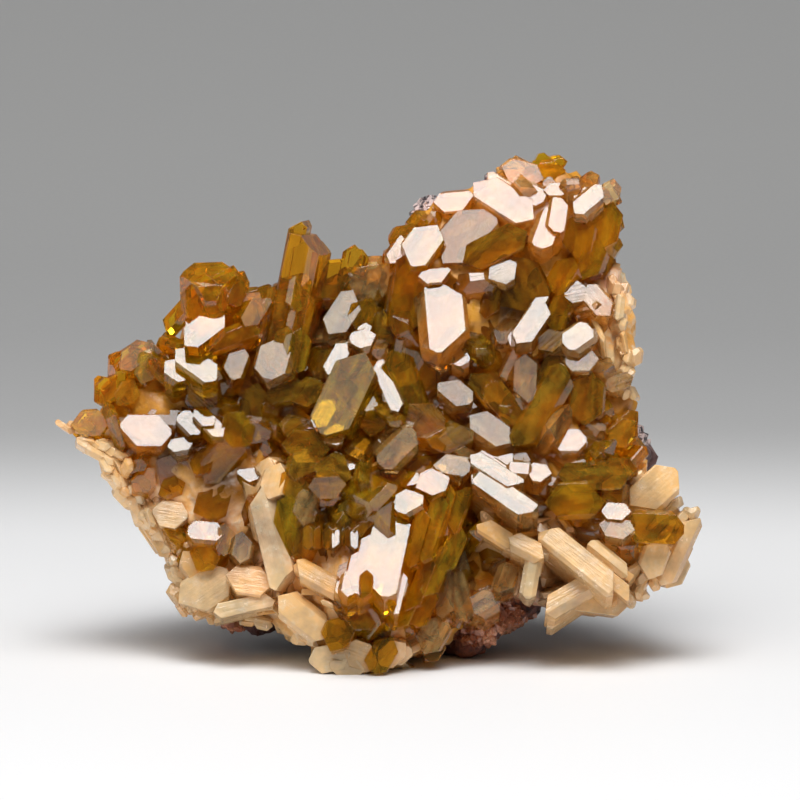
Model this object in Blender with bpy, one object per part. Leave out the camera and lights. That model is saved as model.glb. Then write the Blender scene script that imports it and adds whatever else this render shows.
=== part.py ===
"""Barite crystal cluster: amber barite crystals on a crust of massive barite, with host rock behind.

The cluster is laid out in its face frame, in millimetres: u runs across to the right, v runs down the
face, and w stands out of the face. The face leans back by FACE_LEAN, and the lowest tip of the crust is
on the ground, z = 0. Everything that is made is in metres, +Z up, with the origin under the middle.
"""

import itertools
import math

import bmesh
import bpy
import numpy as np
from mathutils import Vector

MM = 0.001
FACE_LEAN = math.radians(8.0)
MIDDLE_U = 76.8  # half way between the left and right tips
GROUND_V = 134.9  # the lowest tip of the crust
MIDDLE_DEPTH = 28.3  # half way between the front crystals and the back of the rock
GAP = 0.5  # kept between the rock and the barite that grew on it

# Angles of barite's faces, from a : b : c = 1.629 : 1 : 1.3136
PRISM_TIP = math.radians(39.15)  # face 210, from the a axis
SIDE_DOME = math.radians(52.7)  # face 011, from the c axis
END_DOME = math.radians(38.86)  # face 101, from the c axis

# The crust's edge seen from the front, clockwise from the left arm
CRUST_EDGE = [
    (16, 87), (17, 84), (20, 80), (24, 74), (29, 71), (34, 69.5), (37, 63), (37, 58), (42, 56),
    (49, 60), (53, 62), (57, 60), (62, 57), (67, 55), (72, 54), (77, 53), (79, 50), (82, 45),
    (88, 40), (96, 37.5), (101, 34.5), (108, 33), (116, 34), (121, 38), (123.5, 44), (123, 52),
    (126, 57), (127.5, 66), (126.5, 75), (127.5, 82), (127, 90), (131, 97), (137, 102.5),
    (134, 111), (131.5, 116), (126, 118.5), (121, 122.5), (113, 122.5), (108, 121), (101, 119),
    (95, 122), (90, 128), (85, 132), (80, 132), (77, 134), (72, 134.9), (67, 134), (62, 129),
    (55, 125), (50, 122), (43, 121.5), (38, 122.5), (36, 117), (35.5, 111), (30.5, 106),
    (25, 100), (23, 95), (24, 92), (20, 89),
]

# The host rock's edge, mostly hidden behind the crust
ROCK_EDGE = [
    (24, 88), (28, 84), (33, 76), (40, 68), (48, 66), (54, 66), (60, 62), (68, 59), (76, 55),
    (80, 47), (82, 41.5), (86, 37.5), (95, 37), (99, 33.2), (104, 31.4), (108, 31), (114, 31.4),
    (118, 33.5), (121, 38), (121.5, 46), (121, 54), (123.5, 62), (125, 72), (127, 80), (130, 86),
    (133, 89.2), (133.2, 93), (130, 98), (129, 106), (126, 113), (119, 118), (112, 123),
    (108.5, 125.5), (106, 127), (101, 129), (97, 132.5), (91.5, 133), (87, 133), (80, 132.5),
    (72, 132.5), (66, 132.5), (62, 129.5), (57, 129.3), (53, 128.8), (47.5, 128), (43, 128),
    (40.5, 125.7), (37.5, 122), (38, 116), (34, 108), (30, 100), (27, 94),
]
HEART = (78.0, 86.0)  # both edges are seen whole from here

# Relief of the crust: centre u, v, radius, and how far it stands out (or sinks in, below zero)
CRUST_LEVEL = -14.5
CRUST_RELIEF = [
    (72, 118, 17, 13.0), (78, 100, 14, 6.0), (120, 104, 16, 6.0), (60, 66, 10, -9.0),
    (72, 62, 8, -5.0), (44, 98, 12, 5.0), (30, 84, 12, 3.0), (90, 62, 12, 4.0),
    (108, 88, 12, 4.0), (96, 103, 6, -9.0), (68, 101, 4, -7.0), (111, 115, 4, -6.0),
    (73, 127, 3, -6.0), (98, 127, 7, -6.0), (46, 126, 6, -3.0), (102, 38, 14, -4.0),
]
ROCK_LEVEL = -27.0
ROCK_RELIEF = [(98, 127, 9, 13.0), (46, 126, 7, 12.0), (129, 89, 7, 6.0), (75, 126, 14, 6.0)]
ROCK_BACK = -52.0

# One crystal: u, v and w of the middle of its front face, the way its long axis runs in the picture
# (degrees up from the right), seen length and width, thickness, and how far the front face turns to the
# right and leans up (degrees).
LEFT_ARM = [
    (41.3, 58.3, -6, 2, 15.5, 12.4, 12, -8, 4), (41, 65.5, -4, 38, 12, 5, 5, 0, 30),
    (45, 69, -6, 18, 14, 5.5, 7, 5, 0), (50.5, 62, -8, 60, 7, 5, 6, 15, 20),
    (47.5, 57.5, -8, 70, 8, 5, 7, 35, 10), (27, 70.8, -10, 35, 9.5, 4.5, 6, -10, 15),
    (29, 73.8, -9, 75, 8, 4.5, 6, -20, -5), (32.5, 74.2, -8, -45, 8, 4, 6, 10, -5),
    (21, 78, -12, 40, 7, 5, 6, -15, 10), (35, 73.6, -6, -30, 6, 3.6, 5, 0, 28),
    (38.8, 72.4, -5, -35, 11.5, 4.8, 5, 0, 30), (40.5, 79, -7, -45, 7.5, 6, 6, 0, -5),
    (47.3, 72.5, -8, 70, 7, 5, 7, 5, 22), (17.6, 83.7, -13, 5, 9.2, 8, 9, -5, 8),
    (23.2, 83, -12, 85, 7, 5, 7, -25, 0), (29.2, 85.8, -7, 0, 11, 6.8, 6, 3, 24),
    (33, 83.4, -9, -3, 8.5, 4.6, 6, 0, 22), (38, 84.5, -7, -45, 6.5, 4.2, 5, 0, 27),
    (40.6, 83.2, -6, -45, 6, 3.4, 5, 0, 29), (43, 85.6, -5.5, -45, 6, 3.4, 5, 0, 29),
    (47.5, 86, -6, -50, 8.5, 6.5, 8, 10, 0), (44.5, 91.5, -7, 50, 13, 8, 9, 5, -5),
    (35, 94.5, -10, -30, 10, 8, 8, 0, -10), (29, 96, -9, 45, 6.5, 4.6, 6, 5, 18),
]
LEFT_FOOT = [
    (34, 102.5, -9, -10, 8, 6, 7, 0, 15), (28.5, 101.5, -12, -60, 13, 5, 7, -20, 5),
    (33, 109, -11, -62, 13, 5.5, 7, -20, 0), (42.5, 100.7, -7, 25, 10.5, 6.8, 8, 0, 5),
    (41.3, 106.3, -6, -5, 8, 4.2, 6, 0, 25), (41, 111, -7, 60, 8, 6, 7, 0, 5),
    (48.4, 109.4, -5, 80, 6.5, 4.8, 6, 0, 20), (41, 118, -8, 35, 12, 8.5, 9, -5, 8),
    (49.5, 115.7, -4, -8, 10.5, 6.2, 7, 0, 15), (48.3, 121, -4, 13, 15, 3, 4, 0, 10),
    (38.5, 114, -9, -55, 9, 4.5, 6, -10, 5),
]
MIDDLE = [
    (57.3, 61, -10, 78, 31, 8.8, 9, -12, -4), (60.3, 63, -9, 78, 9, 4.4, 7, 22, 5),
    (54.7, 72, -7, 75, 10, 7.8, 8, -5, 22), (59.7, 70, -8, 78, 9.5, 5.5, 8, 22, 0),
    (66.3, 55.5, -15, 55, 10, 6.8, 8, 0, 8), (70.7, 52.3, -17, 80, 7.5, 5.2, 7, 0, 5),
    (74, 56.5, -15, 10, 9, 7, 8, 0, 5), (68.2, 63, -11, 57, 11.5, 5.4, 7, 0, 20),
    (72.6, 67.7, -9, 15, 6.2, 5, 6, 0, 29), (67.5, 71.5, -9.5, 61, 8.5, 3.4, 5, 0, 29),
    (69, 78, -3, 65, 19.5, 8.2, 8, -8, 18), (57, 78, -9, 10, 9, 6, 8, -5, 8),
    (61.5, 78.5, -9, 30, 8, 6, 8, 5, 12), (50.5, 81, -10, 80, 10, 5, 8, 0, 5),
    (77, 65.7, -12, 85, 8, 5, 7, 0, 5), (78, 77.3, -7, 114, 13, 3.6, 6, 5, 24),
    (81, 76.5, -8, 110, 16, 7, 8, 10, 0), (74.5, 83, -8, 85, 11, 6, 7, 0, 10),
    (79.5, 89.5, -3, 45, 11, 6.4, 7, 0, 18), (77, 96, -4, 20, 10.5, 7, 8, 0, 5),
]
FRONT = [
    (61, 89, -3, 0, 10.5, 7, 8, 0, 14), (60.2, 93, -1, 75, 7, 6, 7, -5, 5),
    (66.8, 93.7, -1, -20, 8.5, 6.8, 8, 5, 5), (65.3, 97, 0, 5, 9, 5.4, 6, 0, -8),
    (54.8, 95.8, -3, 70, 8, 5.5, 8, -20, 10), (69.8, 102.7, -2, 85, 6, 4.6, 6, 0, 5),
    (61.3, 101.2, -1, 75, 8.5, 4.8, 6, 0, 12), (57.5, 105, -2, 80, 15, 5.6, 8, -5, 0),
    (54, 107.3, -2, 104, 24, 5, 9, -20, 5), (64.7, 115.7, 1.5, -28, 14.5, 4.6, 6, 0, 15),
    (60.5, 123, -1, -38, 13, 6.5, 8, 0, 0), (67.3, 126.5, 0.5, 65, 8, 6.2, 8, -5, 15),
    (72, 122, 1.5, 0, 9.6, 7, 8, 0, 0), (71, 131, -1.5, 0, 17, 7.4, 9, 0, -5),
    (76.7, 130.5, 0, 60, 9, 5, 7, 10, 0), (77.2, 110.5, 4.5, 78, 18.5, 6, 8, 0, 30),
    (73.6, 112, 3, 78, 13, 5, 7, 0, 30), (70.8, 115, 1.8, 78, 9, 4.5, 7, 0, 30),
    (73.3, 116.3, 6, 86, 6.4, 2.6, 4, 0, 5), (79.4, 117, 2.4, 76, 12, 3.4, 7, 5, 29),
    (81.6, 100, 1, 30, 7, 5.2, 7, 0, 29), (86.4, 96.3, 0, 20, 7, 5, 7, 0, 29),
    (84.3, 106.2, 0.2, 69, 14, 8.2, 9, 5, -8), (90, 102, -2, 68, 12, 8, 9, 10, -5),
    (86, 114.5, -1, 62, 13, 8, 9, 10, -5), (82.5, 121, -1, 60, 12, 7, 9, 5, -5),
    (90.2, 93.3, -4, -10, 8.5, 4.8, 7, 0, 22),
]
UPPER_RIGHT = [
    (80.3, 47.8, -13, 60, 8.5, 6.2, 8, -20, 5), (84.4, 48.5, -10, 55, 11, 7, 8, 0, 28),
    (81.3, 59, -10, 82, 18, 7, 9, -15, 0), (87, 54.8, -8, 5, 7, 4, 6, 0, 28),
    (88.4, 63.2, -5, 95, 15.5, 10.2, 10, -5, 25), (92.9, 46.5, -12, 50, 16, 9, 7, -10, 20),
    (90.5, 39.8, -15, 5, 9.5, 5, 6, 0, 24), (101.3, 39.7, -12, -33, 14.5, 6.8, 7, 0, 29),
    (104.5, 34.4, -17, -15, 9.5, 5.6, 6, 0, 18), (110.3, 33.8, -18, 10, 7, 5, 6, 5, 5),
    (98.7, 49.5, -9, 27, 16.5, 6, 8, 0, 5), (104, 57, -11, 118, 14, 11, 10, 0, 0),
    (100.3, 54.2, -9, 30, 7, 5.4, 7, 0, 22), (97.8, 60, -10, 80, 8, 4.6, 7, -5, 10),
    (109, 45.5, -9, 70, 9.6, 5.2, 8, 0, 22), (111.6, 42.8, -9, 80, 8, 4.2, 7, 5, 24),
    (117.8, 39.4, -11, 40, 9, 5, 7, 0, 29), (122.2, 38, -14, 80, 6, 4.4, 6, 10, 15),
    (106, 64.8, -7, 55, 12, 4.6, 6, 0, 29), (116, 47, -12, 80, 11, 6.5, 8, -5, 0),
    (121.3, 44.5, -14, 78, 13, 6.5, 8, 15, 0), (118.5, 52, -12, 70, 9, 6.5, 8, 5, 0),
    (113, 55, -10, 60, 9, 6, 8, -5, 5), (119.8, 60.3, -9, -50, 9, 4.4, 6, 5, 22),
    (112, 62.5, -9, 65, 8, 5, 7, 0, 10), (115.4, 67.2, -6, 35, 7.2, 5.6, 7, 0, 27),
    (116.2, 72, -7, 0, 7.5, 4.6, 6, 0, 20), (117.3, 79.6, -8, 86, 12.5, 7.8, 9, 5, 0),
    (105, 75.5, -7, 88, 10.5, 4.6, 7, 0, 16), (97.5, 78, -8, -50, 11, 5, 7, 0, 8),
    (101, 81, -7, -50, 12, 5, 7, 0, 8), (98, 86, -6, -35, 10, 5.6, 8, 0, 21),
    (91, 78.5, -7, -40, 8, 5, 7, 0, 21), (85, 85, -7, -50, 12, 8, 9, 0, -5),
    (90.5, 88, -6, 30, 9, 7, 8, 0, -5), (108, 82, -5, 60, 20.5, 6.4, 8, -5, 10),
    (96, 68.5, -11, 70, 11, 7, 8, -5, 0), (86.5, 75, -10, 60, 8, 6, 7, 0, 0),
    (124.6, 86.7, -9, 40, 8.5, 5.4, 7, 5, 10),
]
LOWER_RIGHT = [
    (113.6, 88, -5, 0, 7.6, 5.2, 7, 0, 28), (98.8, 93.9, -1, -32, 13, 3.4, 6, 0, 29),
    (101.3, 98.3, 1, -35, 15.5, 5, 7, 0, 29), (107.8, 94.2, -2, -10, 6, 4.6, 7, 0, 26),
    (119.5, 95, -2, 3, 17, 5.6, 8, 0, 10), (114.7, 100, -1, 3, 12, 7.6, 8, 0, 0),
    (131, 98, -7, 42, 12, 7.6, 9, 5, 8), (123.3, 102.1, -1.5, -5, 6.5, 3.4, 5, 0, 27),
    (123, 105.4, -1, -12, 8, 4, 6, 0, 22), (130.8, 105.2, -3, -3, 12, 6.8, 8, 5, 5),
    (136.2, 110, -9, 65, 17, 4.4, 7, 10, 5), (130.7, 112, -6, 70, 9, 5.5, 7, 5, 0),
    (116, 111.8, 1, -39, 20.5, 4.8, 7, 0, 18), (106, 114.7, 0, 80, 9.5, 3.4, 5, 0, 10),
    (99, 106.5, -2, -33, 9, 3.6, 6, 0, 8), (104.9, 109, 0, -28, 9, 4, 6, 0, 18),
    (114, 118.7, -2, 30, 14.5, 4.4, 7, 0, 15), (120, 119.6, -6, -8, 14, 6, 9, 5, 5),
    (92, 119, -5, 105, 12, 3.6, 6, 5, 5), (89, 118, -4, 90, 12, 3.6, 6, 5, 5),
    (86.5, 127, -4, 60, 9, 6, 7, 5, 5), (97, 120.5, -6, 30, 8, 5, 7, 0, 18),
    (101, 115.5, -4, 70, 7, 4.5, 7, 0, 15),
]
GROUPS = [LEFT_ARM, LEFT_FOOT, MIDDLE, FRONT, UPPER_RIGHT, LOWER_RIGHT]

RICH_FROM = 12.5  # crystals at least this long have all their faces
ROOT_DEPTH = 1.0  # how far a crystal's root goes into the crust
MOST_ADDED = 5.0  # a crystal may be this much thicker to reach the crust
SAME_POINT = 0.002  # corners closer than this are one
RIM_CRYSTALS = 16
RIM_SEED = 7
CRYSTAL_SEED = 3


def to_world(point):
    """A point of the face frame, in metres in the part's own frame."""
    u, v, w = point
    up = GROUND_V - v
    lean_sin, lean_cos = math.sin(FACE_LEAN), math.cos(FACE_LEAN)
    depth = up * lean_sin - w * lean_cos - MIDDLE_DEPTH
    return Vector(((u - MIDDLE_U) * MM, depth * MM, (up * lean_cos + w * lean_sin) * MM))


def relief(level, bumps, u, v):
    """Height out of the face of a surface that has round bumps on an even level."""
    height = level
    for bump_u, bump_v, radius, rise in bumps:
        height += rise * math.exp(-((u - bump_u) ** 2 + (v - bump_v) ** 2) / radius**2)
    return height


def crust_height(u, v):
    return relief(CRUST_LEVEL, CRUST_RELIEF, u, v)


def rock_height(u, v):
    return relief(ROCK_LEVEL, ROCK_RELIEF, u, v)


def edge_reach(edge, angle):
    """Distance from HEART to an edge, along an angle."""
    offsets = np.array(edge, float) - HEART
    turns = np.arctan2(-offsets[:, 1], offsets[:, 0])
    return float(np.interp(angle, turns[np.argsort(turns)],
                           np.hypot(*offsets.T)[np.argsort(turns)], period=2 * math.pi))


def lobed_body(name, edge, rings, spokes, lumps, seed):
    """A closed body round HEART: each ring is a share of the edge's reach and a depth for each point."""
    rng = np.random.default_rng(seed)
    mesh = bmesh.new()
    rows = []
    for ring, (share, depth_at) in enumerate(rings):
        row = []
        for spoke in range(spokes if 0 < ring < len(rings) - 1 else 1):
            angle = 2 * math.pi * (spoke + 0.5 * (ring % 2)) / spokes - math.pi
            reach = share * edge_reach(edge, angle)
            u = HEART[0] + reach * math.cos(angle)
            v = HEART[1] - reach * math.sin(angle)
            shift = rng.uniform(-lumps, lumps, 3) * (1.0 if share < 1 else 0.35)
            row.append(mesh.verts.new(to_world((u + shift[0], v + shift[1], depth_at(u, v) + shift[2]))))
        rows.append(row)
    for upper, lower in zip(rows, rows[1:]):
        for step in range(spokes):
            a, b = upper[step % len(upper)], upper[(step + 1) % len(upper)]
            c, d = lower[(step + 1) % len(lower)], lower[step % len(lower)]
            corners = list(dict.fromkeys([a, d, c, b]))
            mesh.faces.new(corners)
    bmesh.ops.triangulate(mesh, faces=mesh.faces)
    bmesh.ops.recalc_face_normals(mesh, faces=mesh.faces)
    return new_object(name, mesh)


def new_object(name, mesh):
    data = bpy.data.meshes.new(name)
    mesh.to_mesh(data)
    mesh.free()
    made = bpy.data.objects.new(name, data)
    bpy.context.scene.collection.objects.link(made)
    return made


def crystal_faces(length, width, thick, rng):
    """Unit normals of a barite crystal's faces and their distances from its middle, in its own axes:
    x along it, y across it, z out of its broad face. Its back, which is rooted, has no domes."""
    half_x, half_y, half_z = length / 2, width / 2, thick / 2
    flat = rng.uniform(0.62, 0.8)
    faces = [((0, 0, 1), half_z), ((0, 0, -1), half_z), ((0, 1, 0), half_y), ((0, -1, 0), half_y)]
    for way_x, way_y in itertools.product((1, -1), repeat=2):
        normal = (way_x * math.cos(PRISM_TIP), way_y * math.sin(PRISM_TIP), 0)
        faces.append((normal, (half_x * math.cos(PRISM_TIP) + 0.1 * half_y) * rng.uniform(0.94, 1.0)))
    for way_y in (1, -1):
        normal = (0, way_y * math.sin(SIDE_DOME), math.cos(SIDE_DOME))
        top = flat * half_y * math.sin(SIDE_DOME) + half_z * math.cos(SIDE_DOME)
        faces.append((normal, top * rng.uniform(0.94, 1.05)))
    for way_x in (1, -1) if length >= RICH_FROM else ():
        normal = (way_x * math.sin(END_DOME), 0, math.cos(END_DOME))
        top = 0.8 * half_x * math.sin(END_DOME) + half_z * math.cos(END_DOME)
        faces.append((normal, top * rng.uniform(0.96, 1.06)))
    return np.array([normal for normal, _ in faces], float), np.array([reach for _, reach in faces])


def corners_of(normals, reaches):
    """Corner points of the solid that the faces enclose."""
    triples = np.array(list(itertools.combinations(range(len(normals)), 3)))
    systems = normals[triples]
    solvable = np.abs(np.linalg.det(systems)) > 1e-6
    points = np.linalg.solve(systems[solvable], reaches[triples[solvable]][..., None])[..., 0]
    points = points[(points @ normals.T <= reaches + SAME_POINT / 2).all(axis=1)]
    apart = np.linalg.norm(points[:, None] - points[None], axis=2) > SAME_POINT
    first = [i for i in range(len(points)) if apart[i, :i].all()]
    return points[first]


def axes_of(turn, yaw, lean):
    """A crystal's long, cross and facing directions in the face frame (u, up the face, w), and how much
    shorter its length and width look than they are."""
    turn, yaw, lean = map(math.radians, (turn, yaw, lean))
    facing = np.array([math.sin(yaw) * math.cos(lean), math.sin(lean), math.cos(yaw) * math.cos(lean)])
    along = np.array([math.cos(turn), math.sin(turn), 0.0])
    along[2] = -(facing @ along) / facing[2]
    along /= np.linalg.norm(along)
    across = np.cross(facing, along)
    return np.array([along, across, facing]), np.hypot(*along[:2]), np.hypot(*across[:2])


def add_crystal(mesh, crystal, rng):
    """Adds one closed crystal to a mesh."""
    u, v, w, turn, seen_length, seen_width, thick, yaw, lean = crystal
    axes, shorter, narrower = axes_of(turn, yaw, lean)
    normals, reaches = crystal_faces(seen_length / shorter, seen_width / narrower, thick, rng)
    corners = corners_of(normals, reaches)
    middle = np.array([u, -v, w]) - axes[2] * thick / 2
    placed = corners @ axes + middle
    verts = [mesh.verts.new(to_world((x, -y, z))) for x, y, z in placed]
    bmesh.ops.convex_hull(mesh, input=verts)


def rooted(crystal, rng):
    """A crystal and, where it stands clear of the crust, the parallel growths that carry it."""
    u, v, w, turn, length, width, thick, yaw, lean = crystal
    facing = axes_of(turn, yaw, lean)[0][2] * (1, -1, 1)
    front = np.array([u, v, w])
    stack = []
    while True:
        back = front - facing * thick
        short = back[2] + ROOT_DEPTH - crust_height(back[0], back[1])
        added = min(max(short, 0.0), MOST_ADDED)
        stack.append((*front, turn, length, width, thick + added, yaw, lean))
        if short <= MOST_ADDED:
            return stack
        front = front - facing * 0.7 * (thick + added)
        length *= rng.uniform(0.86, 0.96)
        width *= rng.uniform(0.86, 0.96)
        turn += rng.uniform(-4, 4)


def rim_crystals():
    """Crystals round the edge, which look outwards and fill the cluster's sides."""
    rng = np.random.default_rng(RIM_SEED)
    found = []
    for step in range(RIM_CRYSTALS):
        angle = 2 * math.pi * (step + rng.uniform(0.2, 0.8)) / RIM_CRYSTALS
        reach = edge_reach(CRUST_EDGE, angle) - 4.5
        u = HEART[0] + reach * math.cos(angle)
        v = HEART[1] - reach * math.sin(angle)
        if v > 112:
            continue
        outwards = math.degrees(math.atan2(math.cos(angle), 0.9))
        found.append((u, v, rng.uniform(-19, -14), math.degrees(angle) + rng.uniform(-35, 35),
                      rng.uniform(8, 11), rng.uniform(5, 7), 7, 0.8 * outwards, 35 * math.sin(angle)))
    return found


def crystal_collection():
    """Every crystal as a guide object of its own; each runs into its neighbours or into the crust."""
    rng = np.random.default_rng(CRYSTAL_SEED)
    grown = bpy.data.collections.new("crystals")
    for crystal in itertools.chain(*GROUPS, rim_crystals()):
        for body in rooted(crystal, rng):
            mesh = bmesh.new()
            add_crystal(mesh, body, rng)
            bmesh.ops.recalc_face_normals(mesh, faces=mesh.faces)
            guide = new_object("crystal", mesh)
            as_guide(guide)
            grown.objects.link(guide)
    return grown


def crust_body():
    """The massive barite that the crystals grew from."""
    def front(share):
        return lambda u, v: rock_height(u, v) + (crust_height(u, v) - rock_height(u, v)) * share

    def back(depth):
        return lambda u, v: rock_height(u, v) - depth

    rings = [(0, front(1)), (0.2, front(1)), (0.4, front(1)), (0.58, front(1)), (0.75, front(1)),
             (0.88, front(0.95)), (0.97, front(0.75)), (1.0, front(0.3)), (0.96, back(2)),
             (0.7, back(4)), (0, back(4))]
    return lobed_body("crust", CRUST_EDGE, rings, 36, 0.8, 11)


def rock_body():
    """The host rock."""
    def front(depth):
        return lambda u, v: rock_height(u, v) - depth

    def level(depth):
        return lambda u, v: depth

    rings = [(0, front(0)), (0.4, front(0)), (0.75, front(0)), (0.92, front(1)),
             (1.0, front(4)), (0.99, level(-40)), (0.93, level(-46)), (0.72, level(ROCK_BACK + 2)),
             (0.4, level(ROCK_BACK)), (0, level(ROCK_BACK))]
    return lobed_body("matrix_rock", ROCK_EDGE, rings, 34, 1.9, 5)


def swollen(rock):
    """The rock grown by GAP all round, which parts the barite from it."""
    mesh = bmesh.new()
    mesh.from_mesh(rock.data)
    mesh.normal_update()
    for vert, way in [(vert, vert.normal.copy()) for vert in mesh.verts]:
        vert.co += way * vert.calc_shell_factor() * GAP * MM
    return new_object("swollen rock", mesh)


def ground_cutter():
    """A block with its top at z = 0, which gives the cluster the facets that it rests on."""
    mesh = bmesh.new()
    bmesh.ops.create_cube(mesh, size=0.3)
    bmesh.ops.translate(mesh, verts=mesh.verts, vec=(0, 0, -0.15))
    return new_object("ground cutter", mesh)


def boolean(target, operation, other, name):
    modifier = target.modifiers.new(name, "BOOLEAN")
    modifier.operation = operation
    if isinstance(other, bpy.types.Collection):
        modifier.operand_type = "COLLECTION"
        modifier.collection = other
    else:
        modifier.object = other
    return modifier


def as_guide(helper):
    helper.hide_render = True
    helper.display_type = "WIRE"


def shells_of(mesh):
    """The closed shells of a mesh, as lists of faces."""
    left = set(mesh.faces)
    shells = []
    while left:
        shell = [left.pop()]
        for face in shell:
            near = {other for edge in face.edges for other in edge.link_faces} & left
            left -= near
            shell += near
        shells.append(shell)
    return shells


def shell_volume(shell):
    total = 0.0
    for face in shell:
        first = face.verts[0].co
        for one, other in zip(face.verts[1:], face.verts[2:]):
            total += first.dot(one.co.cross(other.co))
    return total / 6


def settle(target):
    """Applies the modifiers and leaves out the pockets sealed between crystals."""
    graph = bpy.context.evaluated_depsgraph_get()
    data = bpy.data.meshes.new_from_object(target.evaluated_get(graph))
    mesh = bmesh.new()
    mesh.from_mesh(data)
    shells = sorted(shells_of(mesh), key=shell_volume)
    for shell in shells[:-1]:
        print(target.name, "leaves out a shell of", round(shell_volume(shell) / MM**3, 2), "mm3")
        bmesh.ops.delete(mesh, geom=shell, context="FACES")
    bmesh.ops.dissolve_limit(mesh, angle_limit=math.radians(0.05), verts=mesh.verts, edges=mesh.edges)
    bmesh.ops.triangulate(mesh, faces=mesh.faces)
    mesh.to_mesh(data)
    mesh.free()
    target.modifiers.clear()
    target.data = data

def material(name, colour, roughness, metallic, transmission=0.0):
    made = bpy.data.materials.new(name)
    made.use_nodes = True
    shader = made.node_tree.nodes["Principled BSDF"]
    shader.inputs["Base Color"].default_value = (*colour, 1.0)
    shader.inputs["Roughness"].default_value = roughness
    shader.inputs["Metallic"].default_value = metallic
    shader.inputs["Transmission Weight"].default_value = transmission
    return made


def main():
    for thing in list(bpy.data.objects):
        bpy.data.objects.remove(thing)
    ground = ground_cutter()
    rock = rock_body()
    around_rock = swollen(rock)
    for helper in (ground, around_rock):
        as_guide(helper)

    barite = crust_body()
    barite.name = "barite_crystals"
    boolean(barite, "UNION", crystal_collection(), "crystals")
    boolean(barite, "DIFFERENCE", around_rock, "rock")
    boolean(barite, "DIFFERENCE", ground, "ground")
    settle(barite)
    barite.data.materials.append(material("amber barite", (0.62, 0.33, 0.06), 0.15, 0.0, 0.8))

    boolean(rock, "DIFFERENCE", ground, "ground")
    settle(rock)
    rock.data.materials.append(material("host rock", (0.09, 0.06, 0.065), 0.6, 0.1))


main()
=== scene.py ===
"""Looks of the barite crystal cluster: clear amber crystals, massive barite crust and dark host rock.

Places are given in the cluster's face frame, in millimetres: u to the right, v down the face and w out of
it. to_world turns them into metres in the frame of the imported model.
"""

import itertools
import math

import bmesh
import bpy
import numpy as np
from mathutils import Euler, Matrix, Vector, noise


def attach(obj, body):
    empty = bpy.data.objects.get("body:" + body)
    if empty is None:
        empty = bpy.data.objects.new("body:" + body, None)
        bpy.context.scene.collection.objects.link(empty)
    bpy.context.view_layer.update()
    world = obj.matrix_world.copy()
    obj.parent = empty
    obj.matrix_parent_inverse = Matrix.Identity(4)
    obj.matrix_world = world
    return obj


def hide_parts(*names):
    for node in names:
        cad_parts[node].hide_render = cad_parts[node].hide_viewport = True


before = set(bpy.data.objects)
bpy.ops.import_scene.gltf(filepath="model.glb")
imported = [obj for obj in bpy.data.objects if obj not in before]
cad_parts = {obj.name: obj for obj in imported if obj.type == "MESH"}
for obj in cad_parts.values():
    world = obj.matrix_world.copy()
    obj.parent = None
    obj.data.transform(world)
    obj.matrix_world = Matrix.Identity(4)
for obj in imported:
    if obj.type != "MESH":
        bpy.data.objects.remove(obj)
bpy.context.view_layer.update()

MM = 0.001
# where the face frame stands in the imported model, and a place in the middle of the face
FACE_LEAN = math.radians(8.0)
MIDDLE_U = 76.8
GROUND_V = 134.9
MIDDLE_DEPTH = 28.3
HEART = (78.0, 86.0)

# the angles between barite's faces
PRISM_TIP = math.radians(39.15)
SIDE_DOME = math.radians(52.7)
END_DOME = math.radians(38.86)
# how wide the broad face stays between the domes, as a share of the crystal's width
HERO_FLATS = (0.7, 1.1)
FILLER_FLATS = (0.2, 0.85)
END_FLAT = 1.15
# how far tip, side and end faces lie from their plain place, as shares
TIP_WIDTH = 0.12
TIP_REACH = (0.72, 1.04)
SIDE_REACH = (0.86, 1.1)
END_REACH = (0.96, 1.06)
MOST_BLUNT = 0.12
COLUMN_BLUNT = 0.19
# from this length a crystal is a column, and from this width nothing smaller grows beside it, in mm
COLUMN_FROM = 30.0
ALONE_FROM = 7.5
# corners nearer than this are one, and a crystal is made this much thicker at most to reach the crust, in mm
SAME_POINT = 0.002
MOST_ADDED = 5.0
# the small crystals between: how many, and how far apart at least, in mm
FILLERS = 560
FILLERS_APART = 2.3
# painted shade: a crystal's colour is darker at its root, and in full painted light from this height above
# the crust, in mm
ROOT_PAINTED_LIGHT = 0.4
PAINTED_LIT_HEIGHT = 7.0

# the outlines of the crust and of the host rock: u, v
CRUST_EDGE = [
    (16, 87), (17, 84), (20, 80), (24, 74), (29, 71), (34, 69.5), (37, 63), (37, 58), (42, 56),
    (49, 60), (53, 62), (57, 60), (62, 57), (67, 55), (72, 54), (77, 53), (79, 50), (82, 45),
    (88, 40), (96, 37.5), (101, 34.5), (108, 33), (116, 34), (121, 38), (123.5, 44), (123, 52),
    (126, 57), (127.5, 66), (126.5, 75), (127.5, 82), (127, 90), (131, 97), (137, 102.5),
    (134, 111), (131.5, 116), (126, 118.5), (121, 122.5), (113, 122.5), (108, 121), (101, 119),
    (95, 122), (90, 128), (85, 132), (80, 132), (77, 134), (72, 134.9), (67, 134), (62, 129),
    (55, 125), (50, 122), (43, 121.5), (38, 122.5), (36, 117), (35.5, 111), (30.5, 106),
    (25, 100), (23, 95), (24, 92), (20, 89),
]
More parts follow.
